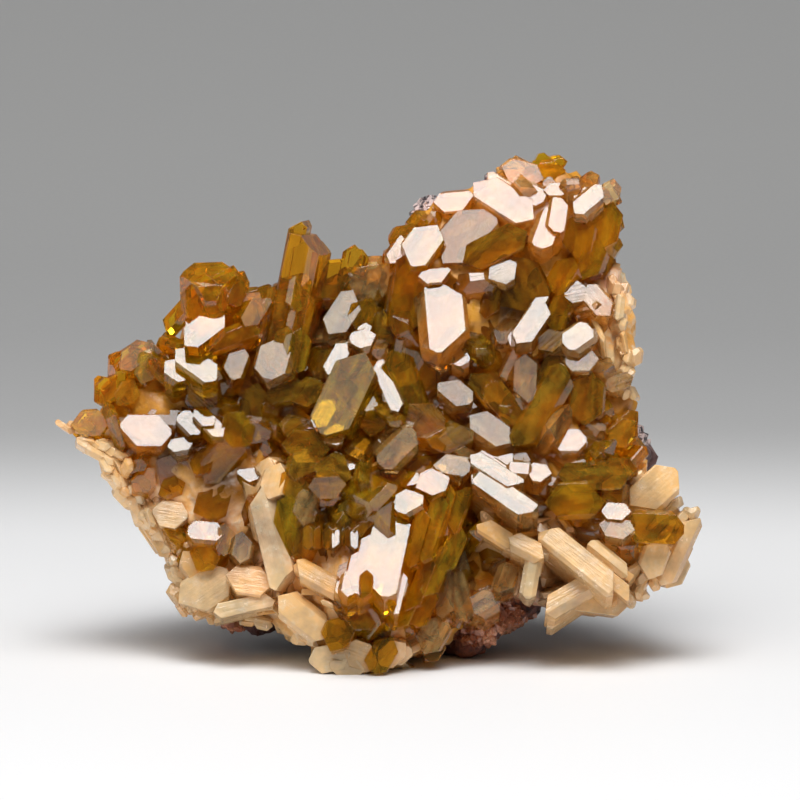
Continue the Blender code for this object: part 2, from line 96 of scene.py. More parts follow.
ROCK_EDGE = [
    (24, 88), (28, 84), (33, 76), (40, 68), (48, 66), (54, 66), (60, 62), (68, 59), (76, 55),
    (80, 47), (82, 41.5), (86, 37.5), (95, 37), (99, 33.2), (104, 31.4), (108, 31), (114, 31.4),
    (118, 33.5), (121, 38), (121.5, 46), (121, 54), (123.5, 62), (125, 72), (127, 80), (130, 86),
    (133, 89.2), (133.2, 93), (130, 98), (129, 106), (126, 113), (119, 118), (112, 123),
    (108.5, 125.5), (106, 127), (101, 129), (97, 132.5), (91.5, 133), (87, 133), (80, 132.5),
    (72, 132.5), (66, 132.5), (62, 129.5), (57, 129.3), (53, 128.8), (47.5, 128), (43, 128),
    (40.5, 125.7), (37.5, 122), (38, 116), (34, 108), (30, 100), (27, 94),
]
# how far out the crust and the rock reach, with their bumps: u, v, radius, rise
CRUST_LEVEL = -14.5
CRUST_RELIEF = [
    (72, 118, 17, 13.0), (78, 100, 14, 6.0), (120, 104, 16, 6.0), (60, 66, 10, -9.0),
    (72, 62, 8, -5.0), (44, 98, 12, 5.0), (30, 84, 12, 3.0), (90, 62, 12, 4.0),
    (108, 88, 12, 4.0), (96, 103, 6, -9.0), (68, 101, 4, -7.0), (111, 115, 4, -6.0),
    (73, 127, 3, -6.0), (98, 127, 7, -6.0), (46, 126, 6, -3.0), (102, 38, 14, -4.0),
]
ROCK_LEVEL = -27.0
ROCK_RELIEF = [(98, 127, 9, 13.0), (46, 126, 7, 12.0), (129, 89, 7, 6.0), (75, 126, 14, 6.0)]
ROCK_BACK = -52.0
# painted shade on the floor paper: where it is painted grey behind the object, and painted light where it
# pales again, in metres
PAINTED_SHADE_RAMP = 0.13, 0.33
PAINTED_LIGHT_RAMP = 0.4, 0.75

AMBER, ORANGE, OLIVE, PALE, CLOUDY = "amber", "orange", "olive", "pale", "cloudy"
# the crystals that the photo shows. Each one: u, v and w of the middle of its front face, turn in the
# picture, length and width as seen, thickness, yaw and lean, in mm and degrees
CRYSTALS = {
    AMBER: [
        (40.6, 59.6, -5, 92, 11, 9.4, 12, -8, -4), (45.4, 57.4, -7, 80, 9.5, 7.6, 10, 26, 4),
        (41.8, 55.2, -6.6, 2, 12.6, 6.4, 10, 0, 52), (41, 65.5, -4, 38, 12, 5, 5, 0, 30),
        (46.3, 67.6, -7, 22, 13, 4.6, 7, 5, 0), (50.5, 62, -8, 60, 7, 5, 6, 15, 20),
        (29, 73.8, -9, 75, 8, 4.5, 6, -20, -5), (35, 74.3, -5.2, -35, 6, 4.4, 5, 0, 29),
        (39, 72.4, -4, -35, 11.5, 5.2, 6, 0, 30), (17.8, 84.4, -12, 4, 8.6, 5.6, 9, -5, 16),
        (18.4, 87, -13, 0, 7.5, 4, 8, 0, -14),
        (38, 84.5, -7, -45, 6.5, 4.2, 5, 0, 27), (40.6, 83.2, -6, -45, 6, 3.4, 5, 0, 29),
        (43, 85.6, -5.5, -45, 6, 3.4, 5, 0, 29), (47.5, 86, -6, -50, 8.5, 6.5, 8, 10, 0),
        (44.5, 91.5, -7, 50, 13, 8, 9, 5, -5), (40.5, 92.5, -7, 60, 7, 4.5, 6, -5, 15),
        (60.3, 63, -9, 78, 9, 4.4, 7, 22, 5), (60, 58.5, -9, 80, 8, 4.4, 7, 20, 5),
        (59.7, 70, -8, 78, 9.5, 5.5, 8, 22, 0), (72.5, 63, -12, 70, 8, 5.5, 7, 20, 0),
        (69, 78, -3, 65, 19.5, 8.2, 8, -8, 18), (81, 76.5, -8, 110, 16, 7, 8, 10, 0),
        (74.5, 83, -8, 85, 11, 6, 7, 0, 10), (77, 96, -4, 20, 10.5, 7, 8, 0, 5),
        (57.5, 105, -2, 80, 15, 5.6, 8, -5, 0), (73.3, 116.3, 9.0, 86, 6.4, 2.8, 5, 0, 5),
        (77, 110.8, 4.6, 78, 18.5, 7.6, 8, 0, 30), (74.4, 111.8, 5.17, 78, 14, 6.4, 8, 0, 30),
        (72.2, 114, 6.44, 78, 10, 5.8, 8, 0, 30), (70.4, 116.2, 7.7, 78, 6, 5, 8, 0, 30),
        (79.4, 117, 2.4, 76, 12, 3.4, 7, 5, 29),
        (81.6, 100, 1, 30, 7, 5.2, 7, 0, 29), (86.4, 96.3, 0, 20, 7, 5, 7, 0, 29),
        (81.3, 59, -10, 82, 18, 7, 9, -15, 0), (84.4, 48.5, -10, 55, 11, 7, 8, 0, 28),
        (87, 54.8, -8, 5, 7, 4, 6, 0, 28), (110.3, 33.8, -18, 10, 7, 5, 6, 5, 5),
        (116, 47, -12, 80, 11, 6.5, 8, -5, 0), (121.3, 44.5, -14, 78, 13, 6.5, 8, 15, 0),
        (118.5, 52, -12, 70, 9, 6.5, 8, 5, 0), (113, 55, -10, 60, 9, 6, 8, -5, 5),
        (83, 107.5, 1.6, 74, 14, 3.4, 8, -14, 12), (86.2, 105.4, 0.8, 72, 15, 3.6, 8, -12, 14),
        (88.9, 102.4, 0, 71, 12, 3.4, 8, 16, 10), (91.8, 101.5, -1.6, 70, 11, 3.8, 8, 14, 8),
        (83.6, 116.4, 0.4, 70, 12, 3.8, 8, -14, 10), (87.4, 113.6, -0.6, 68, 13, 4.2, 8, 12, 12),
        (90.4, 110.2, -2, 68, 11, 4, 8, 16, 8), (80.8, 121.6, 0, 66, 10, 4, 8, -12, 6),
        (84.8, 120.8, -1.2, 64, 10, 4.4, 8, 12, 8),
        (112, 62.5, -9, 65, 8, 5, 7, 0, 10), (114.7, 100, -1, 3, 12, 7.6, 8, 0, 0),
        (122.8, 98.6, -3, 85, 7, 5.4, 7, 5, 0), (86.5, 75, -10, 60, 8, 6, 7, 0, 0),
    ],
    ORANGE: [
        (32.5, 74.2, -8, -45, 8, 4, 6, 10, -5), (23.2, 83, -12, 85, 7, 5, 7, -25, 0),
        (35, 94.5, -10, -30, 10, 8, 8, 0, -10), (45.5, 108, -6, 85, 7, 4, 5, 10, -5),
        (60.2, 93, -1, 75, 7, 6, 7, -5, 5), (66.8, 93.7, -1, -20, 8.5, 6.8, 8, 5, 5),
        (65.3, 97, 0, 5, 9, 5.4, 6, 0, -8), (59, 97.2, -2, 80, 8, 6, 7, -5, 0),
        (72, 122, 1.5, 0, 9.6, 7, 8, 0, 0), (76.7, 130.5, 0, 60, 9, 5, 7, 10, 0),
        (104, 57, -11, 118, 14, 11, 10, 0, 0), (117.3, 79.6, -8, 86, 12.5, 7.8, 9, 5, 0),
        (85, 85, -7, -50, 12, 8, 9, 0, -5), (90.5, 88, -6, 30, 9, 7, 8, 0, -5),
        (96, 68.5, -11, 70, 11, 7, 8, -5, 0), (80.3, 47.8, -13, 60, 8.5, 6.2, 8, -20, 5),
        (110, 68, -8, 40, 6, 4.6, 6, 0, 15), (112, 73.5, -9, 75, 9, 5, 7, -5, 5),
        (57.6, 61.5, -10, 78, 36, 6.6, 6, -16, -3), (59, 65.5, -9.2, 78, 21, 5.4, 6, -10, -1),
        (57, 71, -8, 78, 12, 5.6, 7, -10, 2),
    ],
    OLIVE: [
        (47.5, 57.5, -8, 70, 8, 5, 7, 35, 10), (27, 70.8, -10, 35, 9.5, 4.5, 6, -10, 15),
        (21, 78, -12, 40, 7, 5, 6, -15, 10), (25.5, 78.5, -10, 60, 6, 4.5, 6, 10, 5),
        (36.5, 76, -7, 60, 6, 4, 5, 5, -5), (40.5, 79, -7, -45, 7.5, 6, 6, 0, -5),
        (47.3, 72.5, -8, 70, 7, 5, 7, 5, 22), (29, 96, -9, 45, 6.5, 4.6, 6, 5, 18),
        (34.2, 97.5, -9, 20, 6.5, 4, 5, 0, 8), (42.5, 100.7, -7, 25, 10.5, 6.8, 8, 0, 5),
        (41.3, 106.3, -6, -5, 8, 4.2, 6, 0, 25), (41, 111, -7, 60, 8, 6, 7, 0, 5),
        (66.3, 55.5, -15, 55, 10, 6.8, 8, 0, 8), (70.7, 52.3, -17, 80, 7.5, 5.2, 7, 0, 5),
        (64.6, 72.5, -12, 60, 8, 5, 6, -15, 5), (57, 78, -9, 10, 9, 6, 8, -5, 8),
        (61.5, 78.5, -9, 30, 8, 6, 8, 5, 12), (50.5, 81, -10, 80, 10, 5, 8, 0, 5),
        (77, 65.7, -12, 85, 8, 5, 7, 0, 5), (61, 89, -3, 0, 10.5, 7, 8, 0, 14),
        (69.8, 102.7, -2, 85, 6, 4.6, 6, 0, 5), (67.3, 126.5, 0.5, 65, 8, 6.2, 8, -5, 15),
        (98.7, 49.5, -9, 27, 16.5, 6, 8, 0, 5), (97.8, 60, -10, 80, 8, 4.6, 7, -5, 10),
        (97.5, 78, -8, -50, 11, 5, 7, 0, 8), (101, 81, -7, -50, 12, 5, 7, 0, 8),
        (108, 82, -5, 60, 20.5, 6.4, 8, -5, 10), (119.5, 95, -2, 3, 17, 5.6, 8, 0, 10),
        (130.8, 105.2, -3, -3, 12, 6.8, 8, 5, 5), (124.6, 86.7, -9, 40, 8.5, 5.4, 7, 5, 10),
    ],
    PALE: [
        (29.2, 85.8, -7, 0, 11, 6.8, 6, 3, 24), (33, 83.4, -9, -3, 8.5, 4.6, 6, 0, 22),
        (36, 88.8, -7, 10, 5, 4, 5, 0, 25), (48.4, 109.4, -5, 80, 6.5, 4.8, 6, 0, 20),
        (54.7, 72, -7, 75, 10, 7.8, 8, -5, 22), (74, 56.5, -15, 10, 9, 7, 8, 0, 5),
        (68.2, 63, -11, 57, 11.5, 5.4, 7, 0, 20), (72.6, 67.7, -9, 15, 6.2, 5, 6, 0, 29),
        (67.5, 71.5, -9.5, 61, 8.5, 3.4, 5, 0, 29), (64.6, 82.8, -3, 60, 6, 4, 6, 0, 26),
        (67, 87, -3, 30, 5, 4, 6, 0, 26), (78, 77.3, -7, 114, 13, 3.6, 6, 5, 24),
        (79.5, 89.5, -3, 45, 11, 6.4, 7, 0, 18), (61.3, 101.2, -1, 75, 8.5, 4.8, 6, 0, 12),
        (90.2, 93.3, -4, -10, 8.5, 4.8, 7, 0, 22), (88.4, 63.2, -5, 95, 15.5, 10.2, 10, -5, 25),
        (92.3, 71.5, -7, 30, 5, 4, 5, 0, 25), (92.9, 46.5, -12, 50, 16, 9, 7, -10, 20),
        (90.5, 39.8, -15, 5, 9.5, 5, 6, 0, 24), (101.3, 39.7, -12, -33, 14.5, 6.8, 7, 0, 29),
        (106.5, 38.7, -13, -20, 6, 4, 5, 0, 26), (111.3, 37.6, -13, 0, 5, 3.4, 5, 0, 26),
        (104.5, 34.4, -17, -15, 9.5, 5.6, 6, 0, 18), (100.3, 54.2, -9, 30, 7, 5.4, 7, 0, 22),
        (109, 45.5, -9, 70, 9.6, 5.2, 8, 0, 22), (111.6, 42.8, -9, 80, 8, 4.2, 7, 5, 24),
        (117.8, 39.4, -11, 40, 9, 5, 7, 0, 29), (122.2, 38, -14, 80, 6, 4.4, 6, 10, 15),
        (106, 64.8, -7, 55, 12, 4.6, 6, 0, 29), (115.4, 58.2, -10, 10, 6, 4.4, 6, 0, 22),
        (119.8, 60.3, -9, -50, 9, 4.4, 6, 5, 22), (115.4, 67.2, -6, 35, 7.2, 5.6, 7, 0, 27),
        (116.2, 72, -7, 0, 7.5, 4.6, 6, 0, 20), (105, 75.5, -7, 88, 10.5, 4.6, 7, 0, 16),
        (98, 86, -6, -35, 10, 5.6, 8, 0, 21), (91, 78.5, -7, -40, 8, 5, 7, 0, 21),
        (124, 76.5, -11, 20, 6, 4.6, 6, 5, 15), (113.6, 88, -5, 0, 7.6, 5.2, 7, 0, 28),
        (98.8, 93.9, -1, -32, 13, 3.4, 6, 0, 29), (101.3, 98.3, 1, -35, 15.5, 5, 7, 0, 29),
        (103.8, 93.2, -2, -5, 5.4, 4, 6, 0, 26), (107.8, 94.2, -2, -10, 6, 4.6, 7, 0, 26),
        (123.3, 102.1, -1.5, -5, 6.5, 3.4, 5, 0, 27), (123, 105.4, -1, -12, 8, 4, 6, 0, 22),
        (92, 119, -5, 105, 12, 3.6, 6, 5, 5), (89, 118, -4, 90, 12, 3.6, 6, 5, 5),
        (67.2, 107.3, 1.3, 90, 4.4, 2, 5, 0, 27),
        (70.9, 107.3, 1.3, 90, 4.4, 1.8, 5, 0, 27),
        (86.5, 127, -4, 60, 9, 6, 7, 5, 5), (97, 120.5, -6, 30, 8, 5, 7, 0, 18),
        (101, 115.5, -4, 70, 7, 4.5, 7, 0, 15),
    ],
    CLOUDY: [
        (34, 102.5, -9, -10, 8, 6, 7, 0, 15), (27.5, 99.5, -13, -52, 9, 3, 6, -20, 5),
        (31, 107.5, -12, -58, 10, 3.4, 6, -20, 0), (41, 118, -8, 35, 12, 8.5, 9, -5, 8),
        (49.5, 115.7, -4, -8, 10.5, 6.2, 7, 0, 15), (48.3, 121, -4, 13, 15, 3, 4, 0, 10),
        (38.5, 114, -9, -55, 9, 4.5, 6, -10, 5), (54.8, 95.8, -3, 70, 8, 5.5, 8, -20, 10),
        (54, 107.3, -2, 104, 24, 5, 9, -20, 5), (64.7, 115.7, 1.5, -28, 14.5, 4.6, 6, 0, 15),
        (60.5, 123, -1, -38, 13, 6.5, 8, 0, 0), (66, 131.4, -1.5, 12, 9, 5.4, 8, -12, -4),
        (72, 131, -1, -20, 8, 6, 8, 8, -6), (78.6, 130.4, -1.6, 40, 7, 4.6, 7, 0, -8),
        (69.5, 133, -1.2, 0, 8, 4, 7, 0, -12),
        (131, 98, -7, 42, 12, 7.6, 9, 5, 8), (136.2, 110, -9, 65, 17, 4.4, 7, 10, 5),
        (130.7, 112, -6, 70, 9, 5.5, 7, 5, 0), (116, 111.8, 1, -39, 20.5, 4.8, 7, 0, 18),
        (121.8, 111.3, -1, -39, 11, 3, 5, 5, 15), (106, 114.7, 0, 80, 9.5, 3.4, 5, 0, 10),
        (99, 106.5, -2, -33, 9, 3.6, 6, 0, 8), (104.9, 109, 0, -28, 9, 4, 6, 0, 18),
        (114, 118.7, -2, 30, 14.5, 4.4, 7, 0, 15), (120, 119.6, -6, -8, 14, 6, 9, 5, 5),
    ],
}
# a row of six narrow crystals, each turned the other way from the one before it
CRYSTALS[OLIVE] += [(61.5 + 2.1 * i, 107.3, 0.5, 90, 5, 2.5, 6, (-24, 20)[i % 2], 3) for i in range(6)]

# each kind's palest and deepest colour, and how far its edges are worn, in mm
TINTS = {
    AMBER: ((1.0, 0.64, 0.025), (1.0, 0.49, 0.01)),
    ORANGE: ((1.0, 0.57, 0.04), (1.0, 0.42, 0.015)),
    OLIVE: ((1.0, 0.64, 0.05), (0.95, 0.48, 0.02)),
    PALE: ((1.0, 0.72, 0.3), (1.0, 0.58, 0.14)),
    CLOUDY: ((1.0, 0.8, 0.48), (1.0, 0.54, 0.16)),
}
WEAR = {AMBER: 0.05, ORANGE: 0.05, OLIVE: 0.05, PALE: 0.05, CLOUDY: 0.11}
# where the crust is cream to peach and not brown: u, v, radius, share
CREAM_PLACES = [
    (28, 104, 11, 1.2), (17, 88, 5, 1.0), (22, 94, 5, 1.0), (45, 118, 12, 1.2), (54, 104, 5, 0.9),
    (62, 125, 11, 1.2), (70, 132, 8, 1.2), (126, 60, 6, 1.3), (126, 71, 6, 1.3), (133, 102, 9, 1.2),
    (118, 114, 12, 1.0), (108, 123, 8, 0.9), (104, 33, 7, 0.7), (86, 130, 7, 0.5),
]
# painted shade: where the crust is painted near-black, deep between crystals
PAINTED_SHADE_PLACES = [
    (62, 66, 5, 1.3), (68, 101, 5, 1.4), (97, 103, 5, 1.4), (111, 115, 4, 1.4), (73, 127, 3.5, 1.4),
    (102, 60, 5, 1.0), (44, 80, 5, 0.9), (75, 82, 4, 1.0), (45, 96, 4, 0.9), (111, 66, 4, 0.9),
    (34, 91, 4, 0.8), (104, 89, 4, 0.8), (84, 62, 3, 0.6), (78, 92, 3, 0.8), (57, 82, 4, 0.8),
]
# where no small crystals cover the crust or rock: u, v, radius
BARE_PLACES = [
    (98, 126, 8), (92, 130, 5), (46, 126, 6), (129, 86, 5.5), (125, 59, 4), (125.5, 67, 4.5),
    (125, 75, 3.5), (85, 39, 4), (100, 32, 3.5), (117, 33.5, 3.5), (104, 121, 4),
]
# where the host rock has pink and white crumbs and small crystals
DRUSE_PLACES = [
    (87, 40, 6, 1.3), (105, 31.5, 9, 1.2), (100, 129, 8, 1.3), (43, 126, 4, 1.0), (130, 86, 4, 0.9),
    (60, 100, 22, 0.5), (110, 60, 20, 0.5), (98, 119, 5, 1.0), (84, 131, 5, 1.0),
]
# open edges of the crust with small slivers: from u, v to u, v, turn, count
SLIVER_EDGES = [
    (21, 91, 26, 101, -50, 16), (25, 98, 36, 110, -55, 30), (27, 97, 38, 112, -50, 26),
    (33, 108, 38, 122, -62, 24), (38, 121, 52, 124, 15, 22), (54, 118, 64, 128, -42, 20),
    (62, 128, 80, 133, -20, 24), (123.5, 55, 125.5, 78, 82, 20),
    (127, 96, 138, 104, 55, 20), (136, 104, 130, 117, 62, 20), (110, 120, 128, 118, 8, 26),
    (14, 86, 23, 91, -25, 16), (52, 94, 55, 118, 98, 18), (108, 108, 126, 119, -38, 20),
]
# more places where the crust is bladed: kind, u, v, turn
CRUST_BLADES = [
    (CLOUDY, 124.5, 58, 80), (CLOUDY, 125.5, 66, 80), (CLOUDY, 125, 73, 85), (CLOUDY, 24, 95, -55),
    (CLOUDY, 28, 99, -55), (CLOUDY, 31, 104, -58), (CLOUDY, 38, 120, 30), (CLOUDY, 45, 119, 20),
    (CLOUDY, 50, 112, 80), (CLOUDY, 54, 101, 95), (CLOUDY, 67, 118, -30), (CLOUDY, 66, 123, -35),
    (CLOUDY, 57, 117, -80), (CLOUDY, 110, 119, 30), (CLOUDY, 127, 115, 30), (CLOUDY, 133, 105, 40),
    (CLOUDY, 110, 108, -35), (CLOUDY, 123, 113, -40), (CLOUDY, 80, 130, 20), (CLOUDY, 104, 116, 60),
    (OLIVE, 92, 107, 70), (OLIVE, 96, 113, 60), (PALE, 96, 124, 20), (AMBER, 80, 124, 60),
]


def to_world(point):
    """A point of the face frame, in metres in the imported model's frame."""
    u, v, w = point
    up = GROUND_V - v
    lean_sin, lean_cos = math.sin(FACE_LEAN), math.cos(FACE_LEAN)
    depth = up * lean_sin - w * lean_cos - MIDDLE_DEPTH
    return Vector(((u - MIDDLE_U) * MM, depth * MM, (up * lean_cos + w * lean_sin) * MM))


def relief(level, bumps, u, v):
    """The height at a place of a level with round bumps on it."""
    height = level
    for bump_u, bump_v, radius, rise in bumps:
        height += rise * math.exp(-((u - bump_u) ** 2 + (v - bump_v) ** 2) / radius**2)
    return height


def crust_height(u, v):
    """How far out the crust's front lies at a place."""
    return relief(CRUST_LEVEL, CRUST_RELIEF, u, v)


def rock_height(u, v):
    """How far out the rock's front lies at a place."""
    return relief(ROCK_LEVEL, ROCK_RELIEF, u, v)


def edge_reach(edge, angle):
    """How far an outline lies from HEART in one direction."""
    offsets = np.array(edge, float) - HEART
    turns = np.arctan2(-offsets[:, 1], offsets[:, 0])
    order = np.argsort(turns)
    return float(np.interp(angle, turns[order], np.hypot(*offsets.T)[order], period=2 * math.pi))


def inwards(u, v):
    """0 at the crust's edge and 1 well inside it."""
    across, down = u - HEART[0], v - HEART[1]
    share = math.hypot(across, down) / edge_reach(CRUST_EDGE, math.atan2(-down, across))
    return min(max((0.92 - share) / 0.2, 0.0), 1.0)


def new_object(name, mesh):
    """An object in the scene, from a finished mesh."""
    data = bpy.data.meshes.new(name)
    mesh.to_mesh(data)
    mesh.free()
    made = bpy.data.objects.new(name, data)
    bpy.context.scene.collection.objects.link(made)
    return made


def crystal_faces(length, width, thick, blunt, flats, rng):
    """Normals and distances of a crystal's faces, in mm, with x along it and z out of its broad face."""
    half_x, half_y, half_z = length / 2, width / 2, thick / 2
    flat = rng.uniform(*flats)
    domed = rng.uniform(*flats) * END_FLAT
    faces = [((0, 0, 1), half_z), ((0, 0, -1), half_z), ((0, 1, 0), half_y), ((0, -1, 0), half_y)]
    for way in (1, -1):
        faces.append(((way, 0, 0), half_x * (1 - blunt)))
    for way_x, way_y in itertools.product((1, -1), repeat=2):
        normal = (way_x * math.cos(PRISM_TIP), way_y * math.sin(PRISM_TIP), 0)
        reach = half_x * math.cos(PRISM_TIP) + TIP_WIDTH * half_y
        faces.append((normal, reach * rng.uniform(*TIP_REACH)))
    for way_y, way_z in itertools.product((1, -1), repeat=2):
        normal = (0, way_y * math.sin(SIDE_DOME), way_z * math.cos(SIDE_DOME))
        top = flat * half_y * math.sin(SIDE_DOME) + half_z * math.cos(SIDE_DOME)
        faces.append((normal, top * rng.uniform(*SIDE_REACH)))
    for way_x, way_z in itertools.product((1, -1), repeat=2):
        normal = (way_x * math.sin(END_DOME), 0, way_z * math.cos(END_DOME))
        top = domed * half_x * math.sin(END_DOME) + half_z * math.cos(END_DOME)
        faces.append((normal, top * rng.uniform(*END_REACH)))
    return np.array([normal for normal, _ in faces], float), np.array([reach for _, reach in faces])


def corners_of(normals, reaches):
    """The corners of the body inside all the faces, and for each corner the faces that meet there."""
    triples = np.array(list(itertools.combinations(range(len(normals)), 3)))
    systems = normals[triples]
    solvable = np.abs(np.linalg.det(systems)) > 1e-6
    points = np.linalg.solve(systems[solvable], reaches[triples[solvable]][..., None])[..., 0]
    slack = reaches - points @ normals.T
    inside = (slack >= -SAME_POINT / 2).all(axis=1)
    points, slack = points[inside], slack[inside]
    apart = np.linalg.norm(points[:, None] - points[None], axis=2) > SAME_POINT
    first = [i for i in range(len(points)) if apart[i, :i].all()]
    return points[first], slack[first] < SAME_POINT


def worn_corners(normals, reaches, wear):
    """Corner points of the body with every edge worn down to a narrow flat."""
    worn = []
    for corner, meeting in zip(*corners_of(normals, reaches - wear)):
        worn += [corner + normals[face] * wear for face in np.flatnonzero(meeting)]
    return np.array(worn)


def axes_of(turn, yaw, lean):
    """A crystal's own axes, and how much shorter and narrower it is seen from the front."""
    turn, yaw, lean = map(math.radians, (turn, yaw, lean))
    facing = np.array([math.sin(yaw) * math.cos(lean), math.sin(lean), math.cos(yaw) * math.cos(lean)])
    along = np.array([math.cos(turn), math.sin(turn), 0.0])
    along[2] = -(facing @ along) / facing[2]
    along /= np.linalg.norm(along)
    across = np.cross(facing, along)
    return np.array([along, across, facing]), np.hypot(*along[:2]), np.hypot(*across[:2])


def crystal_object(crystal, blunt, flats, wear, tint, rng):
    """One closed crystal, with its tint darkened toward its root as painted shade, and its place inside the
    crystal kept at every corner.
    """
    u, v, w, turn, seen_length, seen_width, thick, yaw, lean = crystal
    axes, shorter, narrower = axes_of(turn, yaw, lean)
    normals, reaches = crystal_faces(seen_length / shorter, seen_width / narrower, thick, blunt, flats, rng)
    local = worn_corners(normals, reaches, wear)
    middle = np.array([u, -v, w]) - axes[2] * thick / 2
    placed = local @ axes + middle
    mesh = bmesh.new()
    tints_with_painted_shade = mesh.loops.layers.float_color.new("tint")
    grown = mesh.loops.layers.float_vector.new("grown")
    verts, lights = {}, {}
    # painted shade: the root is darkened more the further inside the crust's edge the crystal stands
    painted_root_light = 1 - (1 - ROOT_PAINTED_LIGHT) * inwards(u, v)
    for (x, y, z), spot in zip(placed, local):
        vert = mesh.verts.new(to_world((x, -y, z)))
        vert.co.z = max(vert.co.z, 0.0)
        verts[vert] = spot
        above = (z - crust_height(x, -y)) / PAINTED_LIT_HEIGHT
        lights[vert] = painted_root_light + (1 - painted_root_light) * min(max(above, 0.0), 1.0)
    bmesh.ops.convex_hull(mesh, input=list(verts))
    bmesh.ops.dissolve_limit(mesh, angle_limit=math.radians(0.3), verts=mesh.verts, edges=mesh.edges)
    bmesh.ops.recalc_face_normals(mesh, faces=mesh.faces)
    origin = rng.uniform(-50, 50, 3)
    for face in mesh.faces:
        for corner in face.loops:
            light = lights[corner.vert]
            # the tint is darkened and deepened toward brown by the painted shade at each corner
            corner[tints_with_painted_shade] = (tint[0] * light, tint[1] * light**1.4, tint[2] * light**2, 1)
            corner[grown] = verts[corner.vert] + origin
    return new_object("crystal", mesh)


def rooted(crystal, rng):
    """The crystal, and more of the same under it where it wouldn't reach the crust."""
    u, v, w, turn, length, width, thick, yaw, lean = crystal
    facing = axes_of(turn, yaw, lean)[0][2] * (1, -1, 1)
    front = np.array([u, v, w])
    stack = []
    while True:
        back = front - facing * thick
        short = back[2] + 1.0 - crust_height(back[0], back[1])
        added = min(max(short, 0.0), MOST_ADDED)
        stack.append((*front, turn, length, width, thick + added, yaw, lean))
        if short <= MOST_ADDED:
            return stack
        front = front - facing * 0.7 * (thick + added)
        length *= rng.uniform(0.86, 0.96)
        width *= rng.uniform(0.86, 0.96)
        turn += rng.uniform(-4, 4)


def beside(crystal, rng):
    """Lower, smaller growths of the same lie along one crystal's sides."""
    u, v, w, turn, length, width, thick, yaw, lean = crystal
    way = math.radians(turn)
    for _ in range(rng.integers(1, 4)):
        ahead = rng.uniform(-0.3, 0.3) * length
        aside = rng.choice((-1, 1)) * rng.uniform(0.12, 0.42) * width
        yield (
            u + ahead * math.cos(way) - aside * math.sin(way),
            v - ahead * math.sin(way) - aside * math.cos(way),
            w - rng.uniform(2.0, 4.5), turn + rng.uniform(-3, 3),
            length * rng.uniform(0.45, 0.85), width * rng.uniform(0.45, 0.9), thick,
            yaw + rng.uniform(-4, 4), lean - rng.uniform(0, 9),
        )


def within(u, v, places, share):
    """Whether a place lies inside that share of any of the places' radius."""
    return any((u - a) ** 2 + (v - b) ** 2 < (share * radius) ** 2 for a, b, radius, *_ in places)


def between(kinds, rng):
    """Small crystals over the whole crust, each of the kind and way of its neighbours."""
    named = [(kind, crystal) for kind, crystals in CRYSTALS.items() for crystal in crystals]
    for kind, u, v, turn in CRUST_BLADES:
        named.append((kind, (u, v, crust_height(u, v) + 3, turn, 0.1, 0.1, 4, 0, 5)))
    places = np.array([crystal[:2] for _, crystal in named])
    made = {kind: [] for kind in kinds}
    taken = []
    while sum(map(len, made.values())) < FILLERS:
        angle = rng.uniform(-math.pi, math.pi)
        reach = edge_reach(CRUST_EDGE, angle) * math.sqrt(rng.uniform(0, 1)) * 0.98
        u, v = HEART[0] + reach * math.cos(angle), HEART[1] - reach * math.sin(angle)
        # no small crystals stand where the crust carries painted shade
        if within(u, v, taken, 1) or within(u, v, PAINTED_SHADE_PLACES, 0.8) or within(u, v, BARE_PLACES, 1):
            continue
        taken.append((u, v, FILLERS_APART))
        kind, near = named[int(np.argmin(np.hypot(*(places - (u, v)).T)))]
        top = crust_height(u, v) + rng.uniform(1.5, 5.5)
        for _, (a, b, w, _, length, width, *_rest) in named:
            if (u - a) ** 2 + (v - b) ** 2 < (0.28 * (length + width)) ** 2:
                top = min(top, w - 2.0 - 0.22 * length)
        turn = near[3] + rng.normal(0, 22)
        if kind == CLOUDY:
            size = rng.uniform(4, 10), rng.uniform(1.2, 2.6), rng.uniform(3, 6)
        else:
            size = rng.uniform(6, 13), rng.uniform(3.2, 5.6), rng.uniform(6, 10)
        size = [side * (0.65 + 0.35 * inwards(u, v)) for side in size]
        made[kind].append((u, v, top, turn, *size, rng.uniform(-50, 50), rng.uniform(-40, 40)))
    return made


def slivers(rng):
    """Thin cloudy blades along the crust's open edges."""
    for u, v, last_u, last_v, turn, count in SLIVER_EDGES:
        for _ in range(count):
            share = rng.uniform(0, 1)
            place = (u + (last_u - u) * share + rng.normal(0, 0.8),
                     v + (last_v - v) * share + rng.normal(0, 0.8))
            size = rng.uniform(2.5, 6.0), rng.uniform(1.0, 2.6), rng.uniform(2.5, 4.5)
            top = crust_height(*place) + rng.uniform(0.3, 2.6)
            yield (*place, top, turn + rng.normal(0, 14), *size, rng.uniform(-35, 35), rng.uniform(-20, 30))


def tint_of(kind, rng):
    """A colour between the kind's palest and deepest one."""
    pale, deep = TINTS[kind]
    share = rng.uniform(0, 1)
    return [a + (b - a) * share for a, b in zip(pale, deep)]


def united(name, parts):
    """One closed mesh from overlapping closed ones."""
    others = bpy.data.collections.new(name)
    for part in parts[1:]:
        others.objects.link(part)
    joined = parts[0].modifiers.new("join", "BOOLEAN")
    joined.operation = "UNION"
    joined.solver = "MANIFOLD"
    joined.operand_type = "COLLECTION"
    joined.collection = others
    graph = bpy.context.evaluated_depsgraph_get()
    data = bpy.data.meshes.new_from_object(parts[0].evaluated_get(graph))
    made = bpy.data.objects.new(name, data)
    bpy.context.scene.collection.objects.link(made)
    for part in parts:
        bpy.data.objects.remove(part)
    bpy.data.collections.remove(others)
    return made


def flow_at(u, v):
    """The way the crust's blades run at a place, in radians."""
    nearest = min(CRUST_BLADES, key=lambda blade: (blade[1] - u) ** 2 + (blade[2] - v) ** 2)
    return math.radians(nearest[3])


